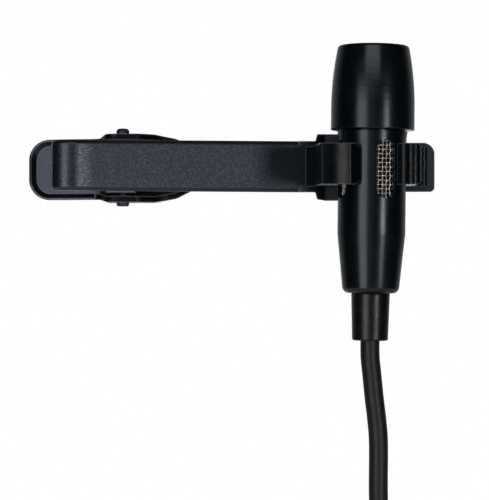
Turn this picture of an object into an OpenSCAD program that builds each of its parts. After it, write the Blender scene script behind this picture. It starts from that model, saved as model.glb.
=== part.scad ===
// Lavalier microphone in the moulded ring of a steel garment clip, with its cable and locking plug.
// Millimetres. The origin is the bite point of the clip's jaws. X runs along the clip, from the thumb
// grips towards the microphone, Y runs from the microphone back into the garment, and Z is up.

/* [Microphone] */
// Diameter of the housing
housing_d = 8.5; // [8.3:0.1:8.7]
// Largest diameter of the front cap
cap_d = 10.46; // [10.3:0.02:10.6]
// Height of the front cap
cap_h = 10.7; // [10.5:0.05:11.2]
// Radius of the cap's barrel-shaped flank, seen from the side
cap_flank_r = 39; // [34:1:48]
// Width of each of the four side slots
slot_w = 2.4; // [2:0.1:2.6]
// Height of each side slot
slot_h = 7.25; // [6.5:0.05:7.5]
// Turn of the slots about the microphone's axis, in degrees
slot_turn = 20.6; // [18:0.2:24]
// Lean of the microphone in its ring, in degrees
mic_lean = 0.7; // [0:0.1:1]
// Diameter of the strain relief where it leaves the housing
relief_d = 4.84; // [4.6:0.02:5]
// Length of the strain relief outside the housing
relief_l = 5.9; // [5.5:0.1:6.3]

/* [Clip] */
// Height of the front bar
bar_h = 6.5; // [6.4:0.05:6.6]
// Thickness of the clip's steel sheet
sheet_t = 0.7; // [0.6:0.05:0.75]
// Height of the thumb plate
thumb_h = 8; // [7.8:0.1:8.1]
// Height of the moulded ring that holds the microphone
ring_h = 5.08; // [4.8:0.04:5.2]
// Diameter of the pivot pin
pin_d = 1.2; // [1.1:0.05:1.25]
// Diameter of the spring's wire
spring_wire_d = 0.5; // [0.4:0.05:0.55]

/* [Cable and plug] */
// Diameter of the cable
cable_d = 2.4; // [2.3:0.05:2.45]
// Turns in the tied coil
coil_turns = 16.5; // [12.5:1:16.5]
// Diameter of the coil at the middle of its turns
coil_mean_d = 28; // [27:0.5:29]
// Distance from one turn of the coil to the next
coil_pitch = 2.85; // [2.82:0.01:2.9]
// Diameter of the plug's shell
plug_d = 10; // [9.8:0.1:10.4]
// Diameter of the plug's nose, which enters the socket
nose_d = 7.9; // [7.8:0.05:8]

/* [Hidden] */

$fn = 96;
eps = 0.01;
arc_step = 7;       // largest turn between two points of a rounded corner, in degrees
broad_r = 5;        // rounded corners broader than this get three times as many points
play = 0.05;        // running clearance round a moving piece

steel = "#5b5d63";
dark_steel = "#3d3f44";
gloss_black = "#141416";
soft_black = "#1d1d1f";
bright_wire = "#b9b4ae";
copper = "#b4703c";
nickel = "#8e9095";

// Microphone, in heights on its own axis
mic_x = 0.05;
mic_y = -9;
housing_r = housing_d / 2;
cap_r = cap_d / 2;
cap_z0 = 4.35;
cap_z1 = cap_z0 + cap_h;
flank_z = 7;                       // height at which the cap's flank starts to curve in
cap_wall = 2.25;                   // thickness of the cap's top
shoulder_z = 4.2;
shoulder_r = housing_r + 0.13;
neck_r = 4;
spigot_z = 11.2;
taper_z = -8.6;
foot_r = 3.5;
foot_z = -16;
bore_upper_r = 3.8;
bore_lower_r = 2.9;
bore_step_z = -5.4;
slot_z = -0.58;
relief_z = foot_z - relief_l;
relief_r = relief_d / 2;
relief_tip_r = relief_r - 0.17;
neck_hole_r = 2;
cable_r = cable_d / 2;

// Side mesh: a cage of rings and posts
mesh_rows = 12;
mesh_posts = 24;
mesh_wire = 0.26;
mesh_r = 3.72;
mesh_z0 = bore_step_z;
mesh_z1 = 4.2;

// Clip: places are [x, y] in plan
bar_face = -4.6;                   // front face of the bar
plate_face = -2.4;                 // front face of the jaw plate, set back behind the ring
bar_r = 0.6;                       // bend along the bar's long edges
bar_slope = 0.42;                  // slope of the bar's channel against the jaw plate, in degrees
flange_l = 1.4;                    // depth of the bar's flanges, its front face included
tail_turn = 16;                    // slope of the bead's flanks, in degrees
tail_roll = 58;                    // how far the bar's end rolls back, in degrees
bead_r = 3.2;
bead_x = -37.8;
blend_r = 9;
bead_lift = (bead_r + blend_r) * (1 - cos(tail_turn));
bead_end_x = bead_x + (bead_r + blend_r) * sin(tail_turn);
plate_h = 8.5;
plate_x1 = 4;
tab_h = 6.28;
tab_x = 8.47;
jog_x = -6.6;
jog_w = 0.96;
jog_miter = sheet_t * tan(atan2(plate_face - bar_face, jog_w) / 2);
pivot = [-31.7, 1.2];
ear_r = 1.8;
ear_t = 0.7;
ear_gap = 0.37;
lever_t = 0.8;
lever_ear_z = bar_h / 2 + ear_gap;
lever_ear_h = lever_ear_z + lever_t;
arm_h = 5.4;
tooth_pitch = 1.2;
tooth_h = 0.6;
bite_gap = 0.12;

// Rear edge of the lever's sheet in plan, from the thumb plate to the jaw, as [x, y, radius]
lever_rear = [[-44.5, 8.4, 0], [-36, 5.9, 6], [-30, 4.6, 8], [-22, 3.3, 8], [-7, 3, 8], [2.4, 2.4, 0.2]];
// Front edge of its sides: they end on the arm, pass round the pin as ears, and rim the thumb plate
lever_rim = [
    [-22, 3.3, 0], [-22.5, 2.55, 0], [-26.6, 2.3, 3], [-29.6, -0.75, 1.8], [-33.8, -0.75, 1.8],
    [-34.9, 4.1, 1.2], [-44.5, 6.9, 0.4],
];

// Torsion spring
spring_r = 1.45;
spring_turns = 4.5;
spring_top = 2.05;
spring_leg_x = -38;

// Cable: the run hangs from the strain relief and bends into the top of the coil
cable_y = mic_y;
run_route = [
    [-0.22, -21.92], [-0.2, -24], [0, -26], [0.3, -29], [0.65, -32], [0.85, -35], [0.85, -42],
    [1.3, -44.3], [2.6, -46.25], [4.55, -47.6], [6.2, -48], [6.85, -48],
];
coil_mean_r = coil_mean_d / 2;
coil_layers = 4;
layer_turns = coil_turns / coil_layers;
coil_outer_r = coil_mean_r + layer_turns * coil_pitch / 2;
coil_inner_r = coil_mean_r - layer_turns * coil_pitch / 2;
coil_x = 6.85 + cable_d;
coil_z = -48 - coil_outer_r;
coil_rings = 24;                   // rings of the swept tube in each turn
coil_climb = 0.5;                  // turns that a climb to the next layer takes
coil_back_y = cable_y + (coil_layers - 1) * coil_pitch;
tail_z = coil_z - coil_outer_r;
tail_route = [[6.85, 0], [6.2, 0], [4.55, -0.4], [2.6, -1.75], [1.3, -3.7], [0.85, -6], [0.85, -12]];
strap_w = 4.2;
strap_t = 0.8;

// Plug, hanging from the tail; heights are below its top
plug_x = 0.85;
plug_y = coil_back_y;
plug_z = tail_z - 12;
boot_l = 12;
collar_l = 7;
shell_l = 15;
nose_l = 8;
land_l = 3;                        // guide land at the nose's tip, ahead of the latch's tooth
shell_bore_r = 3.65;
shell_z = -boot_l - collar_l;
nose_z = shell_z - shell_l;
plug_r = plug_d / 2;
nose_r = nose_d / 2;
insert_r = 3.1;
contact_ring = 1.5;
latch_w = 3;
latch_l = 6;
latch_z = shell_z - 9;
latch_travel = 0.8;
latch_arm_x = 2.55;
latch_slot_x = latch_arm_x - latch_travel - 0.15;

function unit(v) = v / norm(v);

// Points of a rounded corner of an outline: before, at and after are [x, y, radius]
function corner(before, at, after) =
    let (
        here = [at.x, at.y],
        u = unit([before.x, before.y] - here),
        v = unit([after.x, after.y] - here),
        half = acos(max(-1, min(1, u * v))) / 2,
        centre = here + unit(u + v) * at[2] / sin(half),
        first = here + u * at[2] / tan(half) - centre,
        last = here + v * at[2] / tan(half) - centre,
        a = atan2(first.y, first.x),
        turn = (atan2(last.y, last.x) - a + 540) % 360 - 180,
        steps = ceil(abs(turn) / (at[2] > broad_r ? arc_step / 3 : arc_step))
    )
    [for (i = [0:steps]) centre + at[2] * [cos(a + turn * i / steps), sin(a + turn * i / steps)]];

// A closed outline from corners given as [x, y, radius], where a radius of 0 keeps a sharp corner
function rounded(corners) =
    let (n = len(corners))
    [
        for (i = [0:n - 1])
            each corners[i][2] == 0
                ? [[corners[i].x, corners[i].y]]
                : corner(corners[(i + n - 1) % n], corners[i], corners[(i + 1) % n])
    ];

function direction(path, i) = unit(path[min(i + 1, len(path) - 1)] - path[max(i - 1, 0)]);

// One ring of a swept tube; across is an axis that the path never runs along
function tube_ring(path, i, r, sides, across) =
    let (
        t = direction(path, i),
        u = unit(cross(t, across)),
        w = cross(t, u)
    )
    [for (k = [0:sides - 1]) path[i] + r * (cos(360 * k / sides) * u + sin(360 * k / sides) * w)];

// A solid tube of radius r swept along a path
module tube(path, r, sides, across) {
    last = len(path) - 1;
    points = [for (i = [0:last]) each tube_ring(path, i, r, sides, across)];
    walls = [
        for (i = [0:last - 1], k = [0:sides - 1])
            let (a = i * sides + k, b = i * sides + (k + 1) % sides)
            each [[a, a + sides, b + sides], [a, b + sides, b]]
    ];
    start = [for (k = [0:sides - 1]) k];
    end = [for (k = [sides - 1:-1:0]) last * sides + k];
    polyhedron(points, concat([start], walls, [end]));
}

// An outline in [x, z], extruded along Y from y0 to y1
module along_y(y0, y1) {
    translate([0, y1, 0]) rotate([90, 0, 0]) linear_extrude(y1 - y0) children();
}

// An outline in [y, z], extruded along X from x0 to x1
module along_x(x0, x1) {
    translate([x0, 0, 0]) rotate([90, 0, 90]) linear_extrude(x1 - x0) children();
}

// An outline in [x, y], extruded along Z, h high and centred
module centred(h) {
    translate([0, 0, -h / 2]) linear_extrude(h) children();
}

module tube_solid(r_out, r_in, z0, z1) {
    difference() {
        translate([0, 0, z0]) cylinder(r = r_out, h = z1 - z0);
        translate([0, 0, z0 - eps]) cylinder(r = r_in, h = z1 - z0 + 2 * eps);
    }
}

module disc(r, z0, z1) {
    translate([0, 0, z0]) cylinder(r = r, h = z1 - z0);
}

module at_mic() {
    translate([mic_x, mic_y, 0]) rotate([0, mic_lean, 0]) children();
}

module at_plug() {
    translate([plug_x, plug_y, plug_z]) children();
}

// ---------------------------------------------------------------- microphone

// Radius of the cap's flank at height z
function flank(z) = cap_r - cap_flank_r + sqrt(cap_flank_r ^ 2 - max(0, z - flank_z) ^ 2);

// Turned cap with a barrel-shaped flank, a faintly domed top and a ring of sound holes
module front_cap() {
    flank_steps = 9;
    lip_z = cap_z1 - 0.16;
    inner_z = cap_z1 - cap_wall;
    outline = rounded(concat(
        [[neck_r + 0.2, cap_z0, 0], [cap_r, cap_z0, 0.15]],
        [for (i = [0:flank_steps]) let (z = flank_z + (lip_z - 0.5 - flank_z) * i / flank_steps)
            [flank(z), z, 0]],
        [[flank(lip_z), lip_z, 0.42], [2.2, cap_z1 - 0.04, 0], [0, cap_z1, 0]],
        [[0, inner_z, 0], [bore_upper_r, inner_z, 0], [bore_upper_r, spigot_z, 0],
            [neck_r + 0.2, spigot_z, 0]]
    ));
    color(gloss_black) at_mic() difference() {
        rotate_extrude() polygon(outline);
        for (a = [0:60:359]) rotate([0, 0, a]) translate([2.1, 0, inner_z - 1])
            cylinder(r = 0.45, h = cap_wall + 2);
        translate([0, 0, inner_z - 1]) cylinder(r = 0.45, h = cap_wall + 2);
    }
}

front_mesh_z = cap_z1 - cap_wall - 0.3;

// Perforated disc under the sound holes
module front_mesh() {
    hole = 0.28;
    color(bright_wire) at_mic() difference() {
        disc(bore_upper_r - 0.05, front_mesh_z, front_mesh_z + 0.25);
        for (row = [1:3], a = [0:360 / (6 * row):359])
            rotate([0, 0, a]) translate([row, 0, front_mesh_z - 1]) cylinder(r = hole, h = 3);
    }
}

// Felt that damps the front of the capsule
module felt_disc() {
    color(soft_black) at_mic() disc(bore_upper_r - 0.1, front_mesh_z - 1.15, front_mesh_z - 0.05);
}

capsule_r = 3;
capsule_z1 = front_mesh_z - 1.25;
capsule_z0 = capsule_z1 - 4;

// Electret cartridge: a crimped can with a front port, and its two solder pads behind
module capsule() {
    color(nickel) at_mic() {
        difference() {
            disc(capsule_r, capsule_z0, capsule_z1);
            disc(0.5, capsule_z1 - 0.6, capsule_z1 + 1);
            tube_solid(capsule_r + 1, capsule_r - 0.12, capsule_z0 + 0.5, capsule_z0 + 0.8);
        }
        for (x = [-1.1, 1.1]) translate([x, 0, 0]) disc(0.5, capsule_z0 - 0.2, capsule_z0 + eps);
    }
}

// Rubber seat that holds the capsule clear of the housing's wall
module capsule_ring() {
    color(soft_black) at_mic() difference() {
        disc(bore_upper_r - 0.05, mesh_z1, capsule_z1 - 0.4);
        disc(2.4, mesh_z1 - 1, capsule_z1);
        disc(capsule_r + 0.02, capsule_z0, capsule_z1);
    }
}

// Wire cage behind the slots: rings joined by upright posts
module side_mesh() {
    row_step = (mesh_z1 - mesh_z0 - mesh_wire) / mesh_rows;
    color(bright_wire) at_mic() {
        for (row = [0:mesh_rows])
            tube_solid(mesh_r, mesh_r - mesh_wire, mesh_z0 + row * row_step,
                mesh_z0 + row * row_step + mesh_wire);
        for (post = [0:mesh_posts - 1])
            rotate([0, 0, 360 * post / mesh_posts])
                translate([mesh_r - mesh_wire / 2 - 0.02, 0, (mesh_z0 + mesh_z1) / 2])
                    cube([mesh_wire * 0.7, mesh_wire, mesh_z1 - mesh_z0 - 0.04], center = true);
    }
}

// One side slot, cut through the wall on the side that faces -Y
module slot() {
    straight = slot_h - slot_w;
    translate([0, -2.5, slot_z]) rotate([90, 0, 0]) linear_extrude(3) {
        square([slot_w, straight], center = true);
        for (z = [-0.5, 0.5]) translate([0, z * straight]) circle(d = slot_w);
    }
}

// Turned tube: spigot for the cap, flared shoulder, four slots, and a tapered foot
module housing() {
    outline = rounded([
        [neck_hole_r, foot_z, 0], [foot_r, foot_z, 0.85], [housing_r, taper_z, 0],
        [housing_r, shoulder_z - 1.1, 2], [shoulder_r, shoulder_z, 0.08], [neck_r, shoulder_z, 0],
        [neck_r, cap_z0 - 0.05, 0], [neck_r + 0.15, cap_z0, 0], [neck_r + 0.15, spigot_z - 0.3, 0],
        [neck_r - 0.1, spigot_z - 0.05, 0], [bore_upper_r, spigot_z - 0.05, 0],
        [bore_upper_r, bore_step_z, 0], [bore_lower_r, bore_step_z, 0],
        [bore_lower_r, foot_z + 1.5, 0], [neck_hole_r, foot_z + 1.5, 0],
    ]);
    color(gloss_black) at_mic() difference() {
        rotate_extrude() polygon(outline);
        for (a = [0:90:359]) rotate([0, 0, slot_turn + a]) slot();
    }
}

board_z0 = -11.2;
board_z1 = -5.2;

// Impedance converter: a small upright board with a transistor and two chips
module circuit_board() {
    color("#2f5d3a") at_mic() {
        translate([-2.4, -0.4, board_z0]) cube([4.8, 0.8, board_z1 - board_z0]);
        translate([-0.9, 0.4 - eps, board_z0 + 3.4]) cube([1.8, 0.9, 1.6]);
        for (x = [-1.9, 0.7]) translate([x, -0.9, board_z0 + 3.8]) cube([1.2, 0.5 + eps, 0.7]);
    }
}

cable_end_z = -13;

// Fine leads: two from the cable to the board, two from the board up to the capsule
module hookup_wires() {
    lead_r = 0.16;
    lower = [
        [0.45, 0, cable_end_z], [0.45, 0, -12.7], [0.7, 0.1, -12.2], [1, 0.6, -11.6], [1.05, 0.6, -10.6],
    ];
    upper = [[1.1, -0.6, -6.4], [1.4, -0.7, -4.6], [1.2, -0.4, 2], [1.1, 0, capsule_z0 - 0.2]];
    color(copper) at_mic() for (side = [0, 1]) mirror([side, 0, 0]) {
        tube(lower, lead_r, 6, [0, 1, 0]);
        tube(upper, lead_r, 6, [0, 1, 0]);
    }
}

// Crimped ring that stops the cable from pulling out of the housing
module cable_clamp() {
    color(nickel) at_mic() difference() {
        disc(cable_r + 0.55, -14.1, -13.2);
        disc(cable_r + 0.01, -15, -12);
        translate([0, -0.15, -15]) cube([4, 0.3, 4]);
    }
}

// Jacketed end of the cable, through the strain relief and the clamp
module cable_end() {
    color(soft_black) at_mic() disc(cable_r, relief_z, cable_end_z);
}

// Rubber boot that grips the housing's foot and tapers down the cable
module strain_relief() {
    outline = rounded([
        [cable_r + 0.01, relief_z, 0], [relief_tip_r, relief_z, 0.25],
        [relief_r, foot_z - eps, 0.12], [neck_hole_r - 0.02, foot_z - eps, 0],
        [neck_hole_r - 0.02, foot_z + 1.5, 0], [neck_hole_r + 0.6, foot_z + 1.52, 0],
        [neck_hole_r + 0.3, foot_z + 1.8, 0], [cable_r + 0.01, foot_z + 1.8, 0],
    ]);
    color(soft_black) at_mic() rotate_extrude() polygon(outline);
}

// ---------------------------------------------------------------------- clip

arm_w = 1.05;                      // thickness of the ring's arms
ring_bore_r = housing_r + play;

// A bar with round ends between two points in plan
module link(a, b, w) {
    step = b - a;
    for (p = [a, b]) translate(p) circle(d = w);
    translate(a) rotate(atan2(step.y, step.x)) translate([0, -w / 2]) square([norm(step), w]);
}

// The ring in plan, about the microphone's axis: pad, left arm with its lip, right arm with a flared lip
module ring_plan() {
    back = plate_face - mic_y;
    foot = bar_face - mic_y;
    polygon(rounded([
        [-8.2, foot, 0], [-7.3, foot - 1, 1.2], [-6.75, -3.4, 0], [-6.6, -5.4, 0.25], [-4.9, -5.55, 6.6],
        [-3.29, -4.96, 0], [-3.22, -4.82, 0.05], [-3.14, -5.3, 0.12], [-2.9, -5.23, 0.12],
        [-1.6, -4.15, 0.06], [-1.6, -3.6, 0], [-3, 3, 0], [0, 3, 0],
        [4, 3, 0], [5.6, 4.9, 0.8], [7.4, 5.1, 0.55], [7.4, back, 0.2],
        [jog_x + jog_w - mic_x, back, 0], [jog_x - mic_x, foot, 0],
    ]));
    difference() {
        circle(r = ring_bore_r + arm_w);
        polygon([[0, 0], [-20, -20], [0, -20], [13, -14.5]]);
    }
    link([3.82, -3.3], [4.78, -3.9], 1.04);
    translate([4.78, -3.9]) circle(r = 1);
}

// What rounding a corner at [x, z] to radius r takes away, seen from the front; side is its side in Z
module corner_waste(x, z, r, side) {
    difference() {
        translate([x - r, side * z - (side + 1) * r / 2]) square([r + 1, r]);
        translate([x - r, side * (z - r)]) circle(r = r);
    }
}

// Moulded ring: a pad on the jaw plate, two arms round the housing, two stakes through the plate
module mic_holder() {
    color(gloss_black) difference() {
        union() {
            translate([mic_x, mic_y, 0]) centred(ring_h) ring_plan();
            for (x = [-2.4, 2.4]) translate([x, plate_face, 0]) rotate([-90, 0, 0]) {
                translate([0, 0, -0.5]) cylinder(r = 0.7, h = 1.3);
                translate([0, 0, sheet_t + 0.02]) cylinder(r1 = 1.15, r2 = 0.8, h = 0.5);
            }
        }
        at_mic() cylinder(r = ring_bore_r, h = 20, center = true);
        for (side = [-1, 1]) along_y(-16, mic_y - 2.6) {
            translate([mic_x, 0]) corner_waste(-1.6, ring_h / 2 + eps, 0.9, side);
            translate([mic_x, 0]) corner_waste(5.78, ring_h / 2 + eps, 0.7, side);
        }
    }
}

// Section of the bar as [depth behind its front face, height]: a shallow channel with rounded bends
module bar_section() {
    half = bar_h / 2;
    difference() {
        polygon(rounded([
            [0, -half, bar_r], [0, half, bar_r], [flange_l, half, 0.12], [flange_l, -half, 0.12],
        ]));
        polygon(rounded([
            [sheet_t, sheet_t - half, 0.1], [sheet_t, half - sheet_t, 0.1],
            [flange_l + 1, half - sheet_t, 0], [flange_l + 1, sheet_t - half, 0],
        ]));
    }
}

// The bar's rolled end: a concave blend, a rounded bead across the bar, and the rolled-back tip
module bar_tail() {
    bead_y = bar_face - bead_lift + bead_r;
    lip_r = 0.16;
    lip_depth = 0.08;
    translate([bead_end_x, bar_face - blend_r, 0])
        rotate_extrude(angle = tail_turn, start = 90) translate([blend_r, 0]) bar_section();
    translate([bead_x, bead_y, 0]) rotate_extrude(angle = tail_roll + tail_turn, start = -90 - tail_roll)
        translate([bead_r, 0]) mirror([1, 0]) bar_section();
    // narrow rounded lip along the tip's cut edge
    translate([bead_x, bead_y, 0]) rotate(-90 - tail_roll) translate([bead_r - lip_depth, 0, 0])
        cylinder(r = lip_r, h = bar_h - 0.25, center = true);
    // inside the sheet, across the joint of the two bends, so that they are one piece
    translate([bead_x, bead_y, 0]) rotate(tail_turn - 90)
        translate([bead_r - sheet_t * 0.65, 0, 0]) cube([sheet_t * 0.3, 0.4, 4], center = true);
}

// Row of teeth along X, cut into an edge; the points face +Y and stand on y
module teeth(x0, x1, y, h) {
    for (x = [x0:tooth_pitch:x1]) translate([x, y, 0]) centred(h)
        polygon([[0, 0.5], [tooth_pitch, 0.5], [tooth_pitch, 0], [tooth_pitch / 2, -tooth_h], [0, 0]]);
}

// The bar's sheet from the end of the channel, back round the jog, along the jaw plate to the tab
module jaw_plate() {
    jog = [jog_x, jog_x + jog_w];
    plan = rounded([
        [-9, bar_face, 0], [jog[0], bar_face, 0.5], [jog[1], plate_face, 0.15], [tab_x, plate_face, 0.2],
        [tab_x, plate_face + sheet_t, 0.2], [jog[1] - jog_miter, plate_face + sheet_t, 0.5],
        [jog[0] - jog_miter, bar_face + sheet_t, 0.15], [-9, bar_face + sheet_t, 0],
    ]);
    front = rounded([
        [-10, -bar_h / 2, 0], [-6.85, -bar_h / 2, 0.2], [-6.65, 0.13 - plate_h / 2, 0.15],
        [-5.6, -plate_h / 2, 1], [plate_x1, -plate_h / 2, 0.5], [plate_x1 + 0.3, -tab_h / 2, 0.3],
        [tab_x, -tab_h / 2, 0.6], [tab_x, tab_h / 2, 1.5], [plate_x1 + 0.3, tab_h / 2, 0.3],
        [plate_x1, plate_h / 2, 0.5], [-5.6, plate_h / 2, 1], [-6.65, plate_h / 2 - 0.13, 0.15],
        [-6.85, bar_h / 2, 0.2], [-10, bar_h / 2, 0],
    ]);
    intersection() {
        centred(plate_h + 1) polygon(plan);
        along_y(-8, 0) polygon(front);
    }
}

// Front half of the clip: channel-shaped bar, ears for the pin, and the fixed jaw with its teeth
module clip_bar() {
    jaw_x0 = -5.6;
    jaw_x1 = plate_x1 - 0.4;
    color(steel) difference() {
        union() {
            translate([-8, 0, 0]) rotate([0, bar_slope, 0]) translate([8, 0, 0]) {
                bar_tail();
                along_x(bead_end_x, -8.5) translate([bar_face, 0]) bar_section();
            }
            jaw_plate();
            for (side = [-1, 1]) {
                translate([0, 0, side * (bar_h - ear_t) / 2]) centred(ear_t) {
                    translate(pivot) circle(r = ear_r);
                    translate([pivot.x - ear_r, bar_face + 0.9])
                        square([2 * ear_r, pivot.y - bar_face - 0.9]);
                }
                translate([0, 0, side * (plate_h - sheet_t) / 2]) centred(sheet_t)
                    polygon([[jaw_x0, plate_face + 0.2], [jaw_x1, plate_face + 0.2],
                        [jaw_x1, -bite_gap], [jaw_x0, -bite_gap]]);
            }
        }
        translate([pivot.x, pivot.y, 0]) cylinder(d = pin_d + 2 * play, h = 20, center = true);
        for (side = [-1, 1]) translate([0, 0, side * plate_h / 2])
            teeth(jaw_x0, jaw_x1 - tooth_pitch / 2, -bite_gap, 3);
        for (x = [-2.4, 2.4]) translate([x, 0, 0]) rotate([90, 0, 0])
            cylinder(r = 0.72, h = 10, center = true);
    }
}

// The corners moved towards -Y by step, with the same radii
function forward(corners, step) = [for (c = corners) [c.x, c.y - step, c[2]]];

// Outline of the lever in [x, z], drawn in by inset: thumb plate, ears, and the narrow jaw arm
function lever_outline(inset) =
    let (
        half = [
            [-44.5 + inset, thumb_h / 2 - inset, 2.8 - inset], [-34.9, thumb_h / 2 - inset, 0.6],
            [-33.7, lever_ear_h - inset, 0.8], [-27.6, lever_ear_h - inset, 3],
            [-24.8, 3.9 - inset, 2], [-22.4, arm_h / 2 - inset, 1.5], [2.4 - inset, arm_h / 2 - inset, 0.5],
        ],
        last = len(half) - 1
    )
    rounded(concat(half, [for (i = [last:-1:0]) [half[i].x, -half[i].y, half[i][2]]]));

// Pocket of the thumb plate, whose walls lean outwards from its floor to its thin rim
module thumb_pocket() {
    over = 0.5;                    // height of the cutter above the rim
    depth = 0.66;
    lean = 0.85;                   // sideways step of the wall for each millimetre of its depth
    end = 9.25;                    // just short of where the rim rises to the ears
    corner = [2.85, thumb_h / 2 - 2.8];
    r1 = 2.55 + lean * over;
    r2 = 2.55 - lean * depth;
    rim = [lever_rim[6].x, lever_rim[6].y];
    slope = atan2(lever_rim[5].y - rim.y, lever_rim[5].x - rim.x);
    translate(rim) rotate(slope) {
        for (side = [-1, 1]) translate([corner.x, -over, side * corner.y]) rotate([-90, 0, 0])
            cylinder(r1 = r1, r2 = r2, h = over + depth);
        centred(2 * corner.y)
            polygon([[corner.x - r1, -over], [corner.x - r2, depth], [5, depth], [5, -over]]);
        along_x(corner.x, end) polygon([
            [-over, -corner.y - r1], [-over, corner.y + r1], [depth, corner.y + r2],
            [depth, -corner.y - r2],
        ]);
    }
}

function reversed(list) = [for (i = [len(list) - 1:-1:0]) list[i]];

// Rear half of the clip: dished thumb plate, ears round the pin, and the arm with the moving jaw
module clip_lever() {
    web = rounded(concat(lever_rear, reversed(forward(lever_rear, lever_t))));
    sides = rounded(concat([for (i = [0:2]) lever_rear[i]], lever_rim));
    pan = rounded([lever_rear[0], [-36, 5.9, 0], [-36, 4.42, 0], lever_rim[6]]);
    jaw = [[-6.4, 2.4], [2.4, 2.2], [2.4, bite_gap], [-6.4, bite_gap]];
    color(dark_steel) difference() {
        union() {
            intersection() {
                centred(12) union() {
                    polygon(web);
                    polygon(pan);
                }
                along_y(-2, 10) polygon(lever_outline(0));
            }
            intersection() {
                centred(12) polygon(sides);
                along_y(-2, 10) difference() {
                    polygon(lever_outline(0));
                    polygon(lever_outline(lever_t));
                }
            }
            intersection() {
                centred(12) polygon(jaw);
                along_y(-2, 10) difference() {
                    polygon(lever_outline(0));
                    translate([-10, -arm_h / 2 + lever_t]) square([20, arm_h - 2 * lever_t]);
                }
            }
        }
        translate([pivot.x, pivot.y, 0]) cylinder(d = pin_d + 2 * play, h = 20, center = true);
        mirror([0, 1, 0]) teeth(-6.4, 1.8, -bite_gap, 8);
        thumb_pocket();
    }
}

// Headed pin through all four ears
module pivot_pin() {
    head_r = 0.84;
    head_h = 0.72;
    tail_h = 0.5;
    head_z = lever_ear_h + 0.02;
    outline = rounded([
        [0, -head_z - tail_h, 0], [head_r - 0.12, -head_z - tail_h, 0.1], [head_r, -head_z - 0.2, 0.1],
        [head_r, -head_z, 0], [pin_d / 2, -head_z, 0], [pin_d / 2, head_z, 0], [head_r, head_z, 0],
        [head_r, head_z + head_h, 0.42], [0, head_z + head_h, 0],
    ]);
    color(dark_steel) translate([pivot.x, pivot.y, 0]) rotate_extrude($fn = 48) polygon(outline);
}

// Wound spring on the pin; one leg bears on the bar and the other on the thumb plate
module torsion_spring() {
    steps = 8 * spring_turns;
    coil = [
        for (i = [0:steps]) let (a = -90 + 360 * spring_turns * i / steps)
            [pivot.x + spring_r * cos(a), pivot.y + spring_r * sin(a), spring_top * (2 * i / steps - 1)]
    ];
    bar_leg = [spring_leg_x, bar_face + sheet_t + spring_wire_d / 2 + 0.05, -spring_top];
    plate_leg = [spring_leg_x, 5.35, spring_top];
    color(bright_wire) tube(concat([bar_leg], coil, [plate_leg]), spring_wire_d / 2, 6, [0, 0, 1]);
    echo(spring_least_gap = 2 * spring_top / spring_turns - spring_wire_d);
}

// --------------------------------------------------------------------- cable

function smooth(t) = let (c = max(0, min(1, t))) c * c * (3 - 2 * c);

// Radius of the coil after a number of turns: it spirals in and out again, one pitch in each turn
function coil_radius(turn) =
    let (layer = floor(turn / layer_turns), along = turn - layer * layer_turns)
    layer % 2 == 0 ? coil_outer_r - coil_pitch * along : coil_inner_r + coil_pitch * along;

// Layers climbed after a number of turns: each climb is centred on a reversal of the spiral
function coil_layer(turn, k = 1) =
    k == coil_layers ? 0
        : smooth((turn - k * layer_turns) / coil_climb + 0.5) + coil_layer(turn, k + 1);

function coil_point(turn) =
    let (a = 90 - 360 * turn, r = coil_radius(turn))
    [coil_x + r * cos(a), cable_y + coil_pitch * coil_layer(turn), coil_z + r * sin(a)];

coil_path = concat(
    [[coil_x - cable_d, cable_y, coil_z + coil_outer_r]],
    [for (i = [0:coil_turns * coil_rings]) coil_point(i / coil_rings)],
    [[coil_x - cable_d, coil_back_y, coil_z - coil_outer_r]]
);

// Least distance between two points of the coil that are more than half a turn apart, less the cable
function least_gap(path, apart) = min([
    for (i = [0:len(path) - 1 - apart], j = [i + apart:1:len(path) - 1]) norm(path[i] - path[j])
]) - cable_d;

// Free stretch from the strain relief down to the coil
module cable_run() {
    path = [for (p = run_route) [p.x, cable_y, p.y]];
    color(soft_black) tube(path, cable_r, 8, [0, 1, 0]);
}

// Tied coil, wound as one unbroken length in four layers
module cable_coil() {
    color(soft_black) tube(coil_path, cable_r, 6, [0, 1, 0]);
    echo(coil_least_gap = least_gap(coil_path, coil_rings / 2));
}

// Two straps round the bundle, at the top and the bottom of the coil
module cable_tie() {
    inner = coil_inner_r - cable_r - 0.5;
    outer = coil_outer_r + cable_r + 0.25;
    y0 = cable_y - cable_r - 0.25;
    y1 = coil_back_y + cable_r + 0.25;
    t = strap_t;
    color("#26282c") for (side = [-1, 1]) translate([0, 0, coil_z]) scale([1, 1, side])
        along_x(coil_x - strap_w / 2, coil_x + strap_w / 2) difference() {
            polygon(rounded([
                [y0 - t, inner - t, 1.6], [y1 + t, inner - t, 1.6], [y1 + t, outer + t, 1.6],
                [y0 - t, outer + t, 1.6],
            ]));
            polygon(rounded([[y0, inner, 0.8], [y1, inner, 0.8], [y1, outer, 0.8], [y0, outer, 0.8]]));
        }
}

// Short tail from the bottom of the coil to the plug
module cable_tail() {
    path = [for (p = tail_route) [p.x, coil_back_y, tail_z + p.y]];
    color(soft_black) tube(path, cable_r, 8, [0, 1, 0]);
}

// ---------------------------------------------------------------------- plug

// Ribbed rubber boot at the back of the plug
module plug_boot() {
    ribs = 4;
    rib_step = 2.2;
    color(soft_black) at_plug() difference() {
        rotate_extrude() polygon(rounded([
            [0, -boot_l, 0], [3.5, -boot_l, 0], [3.5, -boot_l + 1.5, 0.3], [2, 0, 0.4], [0, 0, 0],
        ]));
        for (i = [0:ribs - 1]) tube_solid(5, 2.15 - 0.12 * (ribs - i), -1.9 - i * rib_step,
            -1.2 - i * rib_step);
    }
}

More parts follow.
